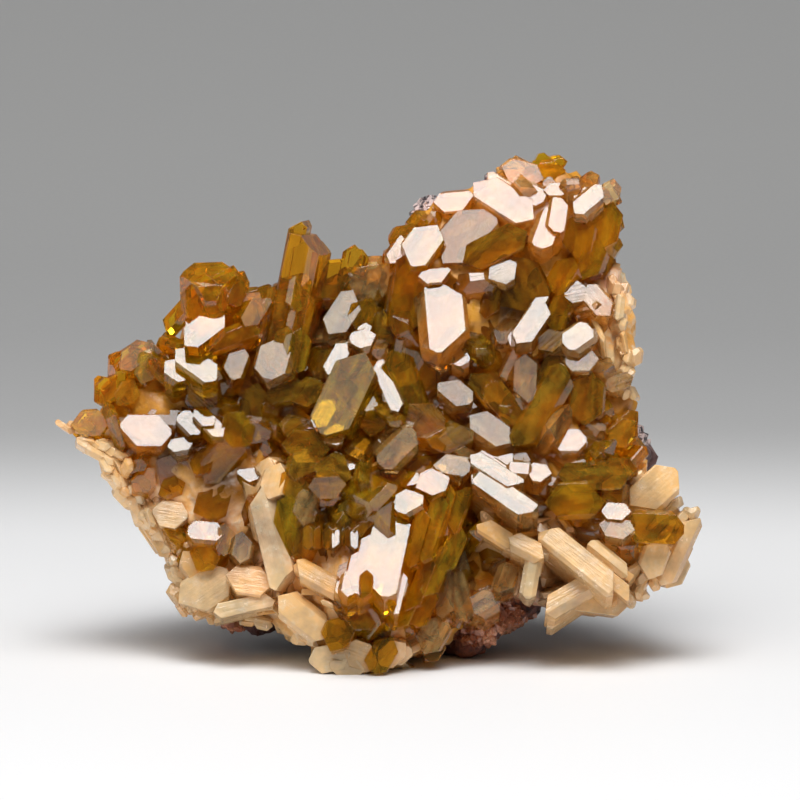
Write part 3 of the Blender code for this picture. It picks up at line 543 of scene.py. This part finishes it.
def bladed(u, v, w):
    """Height of the crust's blades and lumps at a place, in mm."""
    way = flow_at(u, v)
    along = u * math.cos(way) - v * math.sin(way)
    across = u * math.sin(way) + v * math.cos(way)
    spot = Vector((u, v, w))
    ridges = 1 - abs(noise.noise(Vector((along * 0.12, across * 0.4, w * 0.25)))) * 2
    fine = 1 - abs(noise.noise(Vector((along * 0.3, across * 1.1, w * 0.6)))) * 2
    share = 0.5 + noise.noise(spot * 0.13)
    return 1.7 * ridges * share + 0.5 * fine + 1.6 * noise.noise(spot * 0.17) + 0.6 * noise.noise(spot * 0.5)


def craggy(u, v, w):
    """Height of the host rock's lumps and pits at a place, in mm."""
    spot = Vector((u, v, w))
    cells = noise.cell(spot * 0.35)
    lumps = noise.fractal(spot * 0.11, 0.9, 2.1, 6)
    return 1.9 * lumps + 0.5 * cells + 0.9 * abs(noise.noise(spot * 0.5)) - 0.6


def skin(name, edge, rings, steps, spokes, lumps, shrink, shares):
    """A dense closed body inside an edge line, with lumps(u, v, w) added outward in mm."""
    mesh = bmesh.new()
    layers = {share_name: mesh.verts.layers.float.new(share_name) for share_name in shares}
    path = []
    for (share, depth_at), (next_share, next_depth) in zip(rings, rings[1:]):
        for step in range(steps):
            part = step / steps
            path.append((share + (next_share - share) * part, part, depth_at, next_depth))
    path.append((rings[-1][0], 0.0, rings[-1][1], rings[-1][1]))
    rows, places = [], {}
    for ring, (share, part, depth_at, next_depth) in enumerate(path):
        row = []
        for spoke in range(spokes if 0 < ring < len(path) - 1 else 1):
            angle = 2 * math.pi * spoke / spokes - math.pi
            reach = share * edge_reach(edge, angle) - shrink * min(share * 4, 1)
            u = HEART[0] + reach * math.cos(angle)
            v = HEART[1] - reach * math.sin(angle)
            w = depth_at(u, v) * (1 - part) + next_depth(u, v) * part
            vert = mesh.verts.new(to_world((u, v, w)))
            for share_name, areas in shares.items():
                vert[layers[share_name]] = min(relief(0.0, areas, u, v), 1.0)
            places[vert] = (u, v, w)
            row.append(vert)
        rows.append(row)
    for upper, lower in zip(rows, rows[1:]):
        for step in range(spokes):
            a, b = upper[step % len(upper)], upper[(step + 1) % len(upper)]
            c, d = lower[(step + 1) % len(lower)], lower[step % len(lower)]
            mesh.faces.new(list(dict.fromkeys([a, d, c, b])))
    bmesh.ops.recalc_face_normals(mesh, faces=mesh.faces)
    mesh.normal_update()
    pushed = [(vert, vert.normal * lumps(*places[vert]) * MM) for vert in mesh.verts]
    for vert, push in pushed:
        vert.co += push
    for vert in mesh.verts:
        vert.co.z = max(vert.co.z, 0.0)
    made = new_object(name, mesh)
    made.data.shade_smooth()
    return made


def crust_skin():
    """The massive barite between the crystals and the host rock."""
    def front(share):
        """A depth between the rock's front and the crust's."""
        return lambda u, v: rock_height(u, v) + (crust_height(u, v) - rock_height(u, v)) * share

    def back(depth):
        """A depth behind the rock's front."""
        return lambda u, v: rock_height(u, v) - depth

    rings = [(0, front(1)), (0.2, front(1)), (0.4, front(1)), (0.58, front(1)), (0.75, front(1)),
             (0.88, front(0.95)), (0.97, front(0.75)), (1.0, front(0.3)), (0.96, back(2)),
             (0.7, back(4)), (0, back(4))]
    # the second share marks where painted shade darkens the crust between crystals
    shares = {"cream": CREAM_PLACES, "painted_shade": PAINTED_SHADE_PLACES}
    return skin("massive_barite_crust", CRUST_EDGE, rings, 9, 300, bladed, 0.8, shares)


def rock_skin():
    """The host rock behind and under the crust."""
    def between_levels(share):
        """A depth between the rock's front and its back."""
        return lambda u, v: rock_height(u, v) * (1 - share) + ROCK_BACK * share

    rings = [(0, between_levels(0)), (0.5, between_levels(0)), (0.85, between_levels(0)),
             (0.97, between_levels(0.06)), (0.98, between_levels(0.3)), (0.95, between_levels(0.6)),
             (0.82, between_levels(0.88)), (0.6, between_levels(0.99)), (0.3, between_levels(1)),
             (0, between_levels(1))]
    return skin("host_rock_skin", ROCK_EDGE, rings, 11, 300, craggy, 1.2, {"cream": DRUSE_PLACES})


def druse(name, ground, count, sizes, rng):
    """Many small crystals that stand on a skin where its cream share is high."""
    shapes = []
    for _ in range(8):
        shape = bmesh.new()
        length, width = rng.uniform(0.9, 1.6), rng.uniform(0.7, 1.0)
        corners, _ = corners_of(*crystal_faces(length, width, 0.8, 0.0, HERO_FLATS, rng))
        bmesh.ops.convex_hull(shape, input=[shape.verts.new(corner) for corner in corners])
        shape.verts.index_update()
        sides = [[vert.index for vert in face.verts] for face in shape.faces]
        shapes.append((np.array([vert.co for vert in shape.verts]), sides))
        shape.free()
    cream = ground.data.attributes["cream"].data
    faces = [f for f in ground.data.polygons if f.center.z > 0.003 and len(f.vertices) == 4]
    points, polygons = [], []
    while count > 0:
        face = faces[rng.integers(len(faces))]
        if cream[face.vertices[0]].value < rng.uniform(0.3, 1.0):
            continue
        count -= 1
        corners, sides = shapes[rng.integers(len(shapes))]
        turn = face.normal.to_track_quat("Z", "Y").to_matrix() @ Euler(rng.uniform(-1.1, 1.1, 3)).to_matrix()
        turned = corners @ np.array(turn).T * rng.uniform(*sizes) * MM
        polygons += [[corner + len(points) for corner in side] for side in sides]
        points += list(turned + np.array(face.center))
    data = bpy.data.meshes.new(name)
    data.from_pydata(points, [], polygons)
    made = bpy.data.objects.new(name, data)
    bpy.context.scene.collection.objects.link(made)
    return made


class Nodes:
    """Short calls for making a material's nodes."""

    def __init__(self, name):
        self.material = bpy.data.materials.new(name)
        self.material.use_nodes = True
        self.tree = self.material.node_tree
        self.shader = self.tree.nodes["Principled BSDF"]
        self.output = self.tree.nodes["Material Output"]

    def add(self, kind, **settings):
        node = self.tree.nodes.new("ShaderNode" + kind)
        for key, value in settings.items():
            setattr(node, key, value)
        return node

    def join(self, source, target):
        self.tree.links.new(source, target)

    def noise(self, vector, scale, detail=3.0, rough=0.55, stretch=(1, 1, 1)):
        spread = self.add("Mapping")
        spread.inputs["Scale"].default_value = stretch
        self.join(vector, spread.inputs["Vector"])
        node = self.add("TexNoise")
        node.inputs["Scale"].default_value = scale
        node.inputs["Detail"].default_value = detail
        node.inputs["Roughness"].default_value = rough
        self.join(spread.outputs[0], node.inputs["Vector"])
        return node.outputs["Fac"]

    def ranged(self, value, low, high, to_low, to_high):
        node = self.add("MapRange")
        for socket, number in zip(("From Min", "From Max", "To Min", "To Max"), (low, high, to_low, to_high)):
            node.inputs[socket].default_value = number
        self.join(value, node.inputs["Value"])
        return node.outputs["Result"]

    def math(self, operation, first, second):
        node = self.add("Math", operation=operation)
        for socket, value in zip(node.inputs, (first, second)):
            if isinstance(value, (int, float)):
                socket.default_value = value
            else:
                self.join(value, socket)
        return node.outputs[0]

    def mixed(self, share, first, second):
        node = self.add("Mix", data_type="RGBA")
        for socket, value in zip((node.inputs[0], node.inputs[6], node.inputs[7]), (share, first, second)):
            if isinstance(value, tuple):
                socket.default_value = (*value, 1)
            elif isinstance(value, (int, float)):
                socket.default_value = value
            else:
                self.join(value, socket)
        return node.outputs[2]

    def lowness(self, spot):
        """1 near the ground and 0 higher up."""
        apart = self.add("SeparateXYZ")
        self.join(spot, apart.inputs[0])
        return self.ranged(apart.outputs["Z"], 0.016, 0.03, 1, 0)

    def bump(self, height, strength, distance):
        node = self.add("Bump")
        node.inputs["Strength"].default_value = strength
        node.inputs["Distance"].default_value = distance
        self.join(height, node.inputs["Height"])
        self.join(node.outputs[0], self.shader.inputs["Normal"])

    def attribute(self, name):
        return self.add("Attribute", attribute_name=name)


def crystal_material(kind, absorbed, density, clearness, veiled):
    """Clear barite: growth lines and cloudy veils on glassy faces, and a colour that deepens inside."""
    nodes = Nodes(kind + " barite")
    grown = nodes.attribute("grown").outputs["Vector"]
    veil = nodes.noise(grown, 0.5, 3, 0.65, (0.3, 1, 1))
    lines = nodes.noise(grown, 1.0, 2, 0.6, (0.08, 2.2, 2.2))
    nodes.bump(lines, 0.06, 0.0001)
    shader = nodes.shader
    # the tint attribute carries each crystal's tone with painted shade toward its root
    nodes.join(nodes.attribute("tint").outputs["Color"], shader.inputs["Base Color"])
    nodes.join(nodes.ranged(veil, 0.55, 0.72, 0.0, 0.05), shader.inputs["Roughness"])
    nodes.join(nodes.ranged(veil, 0.42, 0.66, clearness, veiled), shader.inputs["Transmission Weight"])
    shader.inputs["IOR"].default_value = 1.64
    absorption = nodes.add("VolumeAbsorption")
    absorption.inputs["Color"].default_value = (*absorbed, 1)
    absorption.inputs["Density"].default_value = density
    nodes.join(absorption.outputs[0], nodes.output.inputs["Volume"])
    return nodes.material


def cream_colour(nodes, spot):
    """Cream, golden peach, white and pinkish patches of massive barite."""
    broad = nodes.noise(spot, 85, 4, 0.6)
    fine = nodes.noise(spot, 420, 5, 0.65)
    pink = nodes.noise(spot, 50, 3, 0.6, (1, 1.4, 0.7))
    colour = nodes.mixed(nodes.ranged(broad, 0.38, 0.6, 0, 1), (1.0, 0.72, 0.38), (1.0, 0.5, 0.13))
    colour = nodes.mixed(nodes.ranged(pink, 0.52, 0.64, 0, 0.8), colour, (0.88, 0.46, 0.3))
    return nodes.mixed(nodes.ranged(fine, 0.5, 0.68, 0, 0.75), colour, (1.0, 0.9, 0.74)), broad, fine


def blade_material():
    """Cloudy cream to golden blades, partly see-through."""
    nodes = Nodes("bladed barite")
    spot = nodes.add("TexCoord").outputs["Object"]
    grown = nodes.attribute("grown").outputs["Vector"]
    lines = nodes.noise(grown, 1.0, 4, 0.6, (0.2, 1.8, 1.8))
    colour, broad, fine = cream_colour(nodes, spot)
    shader = nodes.shader
    # the tint attribute carries each blade's tone with painted shade toward its root
    colour = nodes.mixed(0.6, colour, nodes.attribute("tint").outputs["Color"])
    nodes.join(colour, shader.inputs["Base Color"])
    nodes.join(nodes.ranged(fine, 0.3, 0.7, 0.04, 0.3), shader.inputs["Roughness"])
    nodes.join(nodes.ranged(broad, 0.35, 0.6, 0.62, 0.2), shader.inputs["Transmission Weight"])
    shader.inputs["IOR"].default_value = 1.64
    nodes.bump(nodes.math("ADD", lines, nodes.math("MULTIPLY", fine, 0.8)), 0.4, 0.0004)
    return nodes.material


def crust_material():
    """Massive barite: waxy cream at its open edges, amber brown deep between the crystals, darkened there by
    painted shade.
    """
    nodes = Nodes("massive barite")
    spot = nodes.add("TexCoord").outputs["Object"]
    colour, broad, fine = cream_colour(nodes, spot)
    # amber brown, partly the crust's own colour and partly painted shade between the crystals
    deep = nodes.mixed(nodes.ranged(broad, 0.4, 0.6, 0, 1), (0.42, 0.16, 0.018), (0.75, 0.35, 0.04))
    cream = nodes.ranged(nodes.attribute("cream").outputs["Fac"], 0.2, 0.6, 0, 1)
    shader = nodes.shader
    colour = nodes.mixed(cream, deep, colour)
    # painted shade: near-black where the crust lies deep between crystals
    colour = nodes.mixed(nodes.attribute("painted_shade").outputs["Fac"], colour, (0.03, 0.014, 0.004))
    nodes.join(colour, shader.inputs["Base Color"])
    nodes.join(nodes.ranged(fine, 0.3, 0.7, 0.15, 0.55), shader.inputs["Roughness"])
    nodes.bump(nodes.math("ADD", fine, broad), 0.5, 0.0007)
    return nodes.material


def rock_material():
    """Dark purple-brown rock with metallic grains, and pink-white to brick-red crumbs in places."""
    nodes = Nodes("host rock")
    spot = nodes.add("TexCoord").outputs["Object"]
    broad = nodes.noise(spot, 90, 4, 0.6)
    grain = nodes.noise(spot, 520, 5, 0.75)
    crumbs = nodes.noise(spot, 380, 4, 0.7)
    colour = nodes.mixed(nodes.ranged(broad, 0.4, 0.62, 0, 1), (0.022, 0.016, 0.02), (0.12, 0.05, 0.045))
    pink = nodes.mixed(nodes.lowness(spot), (0.62, 0.36, 0.3), (0.4, 0.12, 0.06))
    crumbly = nodes.ranged(crumbs, 0.42, 0.56, 0, 1)
    share = nodes.math("MULTIPLY", nodes.attribute("cream").outputs["Fac"], crumbly)
    colour = nodes.mixed(share, colour, pink)
    shader = nodes.shader
    nodes.join(colour, shader.inputs["Base Color"])
    nodes.join(nodes.ranged(grain, 0.35, 0.62, 0.18, 0.75), shader.inputs["Roughness"])
    nodes.join(nodes.ranged(grain, 0.58, 0.66, 0.0, 0.8), shader.inputs["Metallic"])
    nodes.bump(nodes.math("ADD", grain, broad), 0.9, 0.0012)
    return nodes.material


def druse_material():
    """Sugary white, pink and smoky crystals."""
    nodes = Nodes("druse")
    spot = nodes.add("TexCoord").outputs["Object"]
    patch = nodes.noise(spot, 160, 3, 0.6)
    fine = nodes.noise(spot, 700, 3, 0.6)
    upper = nodes.mixed(nodes.ranged(fine, 0.48, 0.56, 0, 1), (0.9, 0.7, 0.66), (0.06, 0.045, 0.05))
    lower = nodes.mixed(nodes.ranged(patch, 0.42, 0.58, 0, 1), (0.8, 0.36, 0.2), (0.45, 0.14, 0.07))
    colour = nodes.mixed(nodes.lowness(spot), upper, lower)
    shader = nodes.shader
    nodes.join(colour, shader.inputs["Base Color"])
    nodes.join(nodes.ranged(fine, 0.3, 0.7, 0.08, 0.4), shader.inputs["Roughness"])
    shader.inputs["Transmission Weight"].default_value = 0.35
    shader.inputs["IOR"].default_value = 1.64
    nodes.bump(fine, 0.3, 0.0002)
    return nodes.material


def paper_material():
    """Pale paper, greyed to the back by painted shade and paled again further back by painted light."""
    nodes = Nodes("floor paper")
    spot = nodes.add("TexCoord").outputs["Object"]
    fine = nodes.noise(spot, 900, 2, 0.5)
    apart = nodes.add("SeparateXYZ")
    nodes.join(spot, apart.inputs[0])
    # painted shade: the paper is greyed behind the object
    painted_shade_share = nodes.ranged(apart.outputs["Y"], *PAINTED_SHADE_RAMP, 0, 1)
    painted_shade_share.node.interpolation_type = "SMOOTHSTEP"
    colour = nodes.mixed(painted_shade_share, (0.78, 0.78, 0.785), (0.46, 0.46, 0.46))
    # painted light: the paper is paled again further back
    far = nodes.ranged(apart.outputs["Y"], *PAINTED_LIGHT_RAMP, 0, 1)
    colour = nodes.mixed(far, colour, (0.51, 0.51, 0.505))
    nodes.join(colour, nodes.shader.inputs["Base Color"])
    nodes.join(nodes.ranged(fine, 0.3, 0.7, 0.55, 0.65), nodes.shader.inputs["Roughness"])
    nodes.bump(fine, 0.03, 0.0002)
    return nodes.material


def softbox(name, lift, side, distance, width, height, power):
    """A soft lamp over the front of the object, turned to its middle."""
    lamp = bpy.data.lights.new(name, "AREA")
    lamp.shape = "RECTANGLE"
    lamp.size, lamp.size_y = width, height
    lamp.energy = power
    placed = bpy.data.objects.new(name, lamp)
    bpy.context.scene.collection.objects.link(placed)
    lift, side = math.radians(lift), math.radians(side)
    middle = Vector((0, 0, 0.05))
    way = Vector((math.cos(lift) * math.sin(side), -math.cos(lift) * math.cos(side), math.sin(lift)))
    placed.location = middle + way * distance
    placed.rotation_euler = (-way).to_track_quat("-Z", "Y").to_euler()


def studio():
    """A paper floor that curves up behind the object, soft lamps and a dim room."""
    floor_mesh = bmesh.new()
    profile = [(-1.6, 0.0), (0.5, 0.0)]
    profile += [(0.5 + 1.1 * math.sin(a), 1.1 - 1.1 * math.cos(a)) for a in np.linspace(0.1, math.pi / 2, 20)]
    profile.append((1.6, 3.0))
    rows = [[floor_mesh.verts.new((x, y, z)) for y, z in profile] for x in (-2.5, 2.5)]
    for step in range(len(profile) - 1):
        floor_mesh.faces.new((rows[0][step], rows[1][step], rows[1][step + 1], rows[0][step + 1]))
    floor = new_object("studio_floor", floor_mesh)
    floor.data.shade_smooth()
    floor.data.materials.append(paper_material())
    softbox("overhead", lift=66, side=0, distance=0.95, width=0.44, height=0.42, power=3.2)
    softbox("overhead_fringe", lift=66, side=0, distance=1.05, width=0.84, height=0.74, power=8.0)
    softbox("diffuser", lift=66, side=0, distance=1.25, width=1.7, height=1.3, power=9.0)
    softbox("left_card", lift=12, side=-75, distance=1.1, width=0.5, height=0.8, power=2.2)

    world = bpy.data.worlds.new("room")
    world.use_nodes = True
    world.node_tree.nodes["Background"].inputs["Color"].default_value = (0.5, 0.5, 0.51, 1)
    world.node_tree.nodes["Background"].inputs["Strength"].default_value = 0.1
    bpy.context.scene.world = world


def camera():
    """A long lens that looks straight at the crystal face, as in the photo."""
    data = bpy.data.cameras.new("camera")
    seen = bpy.data.objects.new("camera", data)
    bpy.context.scene.collection.objects.link(seen)
    distance, frame_width = 1200.0, 160.0
    data.sensor_width = 36.0
    data.lens = data.sensor_width * distance / frame_width
    data.clip_start, data.clip_end = 0.05, 20
    place = to_world((80, 80, distance - 8.0))
    up = Vector((0, math.sin(FACE_LEAN), math.cos(FACE_LEAN)))
    back = Vector((0, -math.cos(FACE_LEAN), math.sin(FACE_LEAN)))
    turn = Matrix((Vector((1, 0, 0)), up, back)).transposed()
    seen.matrix_world = Matrix.Translation(place) @ turn.to_4x4()
    bpy.context.scene.camera = seen


def dressed(piece, node, material):
    """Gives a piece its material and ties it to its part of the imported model."""
    piece.data.materials.clear()
    piece.data.materials.append(material)
    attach(piece, "root")
    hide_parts(node)


def crystals():
    """One piece for each kind of crystal."""
    materials = {
        AMBER: crystal_material(AMBER, (1.0, 0.7, 0.05), 32, 0.94, 0.8),
        ORANGE: crystal_material(ORANGE, (1.0, 0.66, 0.05), 32, 0.93, 0.78),
        OLIVE: crystal_material(OLIVE, (1.0, 0.73, 0.07), 38, 0.95, 0.84),
        PALE: crystal_material(PALE, (1.0, 0.74, 0.18), 34, 0.93, 0.78),
        CLOUDY: blade_material(),
    }
    rng = np.random.default_rng(3)
    fillers = between(CRYSTALS, rng)
    for kind, heroes in CRYSTALS.items():
        bodies = []
        for hero in heroes:
            bodies += rooted(hero, rng)
            if hero[5] < ALONE_FROM:
                bodies += beside(hero, rng)
        named = len(bodies)
        bodies += [body for filler in fillers[kind] for body in rooted(filler, rng)]
        if kind == CLOUDY:
            bodies += slivers(rng)
        parts = []
        for number, body in enumerate(bodies):
            blunt = max(rng.uniform(-MOST_BLUNT, MOST_BLUNT), 0) if body[4] < COLUMN_FROM else COLUMN_BLUNT
            flats = HERO_FLATS if number < named else FILLER_FLATS
            parts.append(crystal_object(body, blunt, flats, WEAR[kind], tint_of(kind, rng), rng))
        piece = united(kind + "_crystals", parts)
        dressed(piece, "barite_crystals", materials[kind])


def main():
    crystals()
    dressed(crust_skin(), "barite_crystals", crust_material())
    rock = rock_skin()
    dressed(rock, "matrix_rock", rock_material())
    grains = druse("rock_druse", rock, 2600, (0.8, 1.9), np.random.default_rng(8))
    dressed(grains, "matrix_rock", druse_material())
    studio()
    camera()
    scene = bpy.context.scene
    scene.view_settings.view_transform = "Standard"
    scene.cycles.max_bounces = 12
    scene.cycles.transmission_bounces = 12
    scene.cycles.diffuse_bounces = 3
    scene.cycles.glossy_bounces = 4


main()
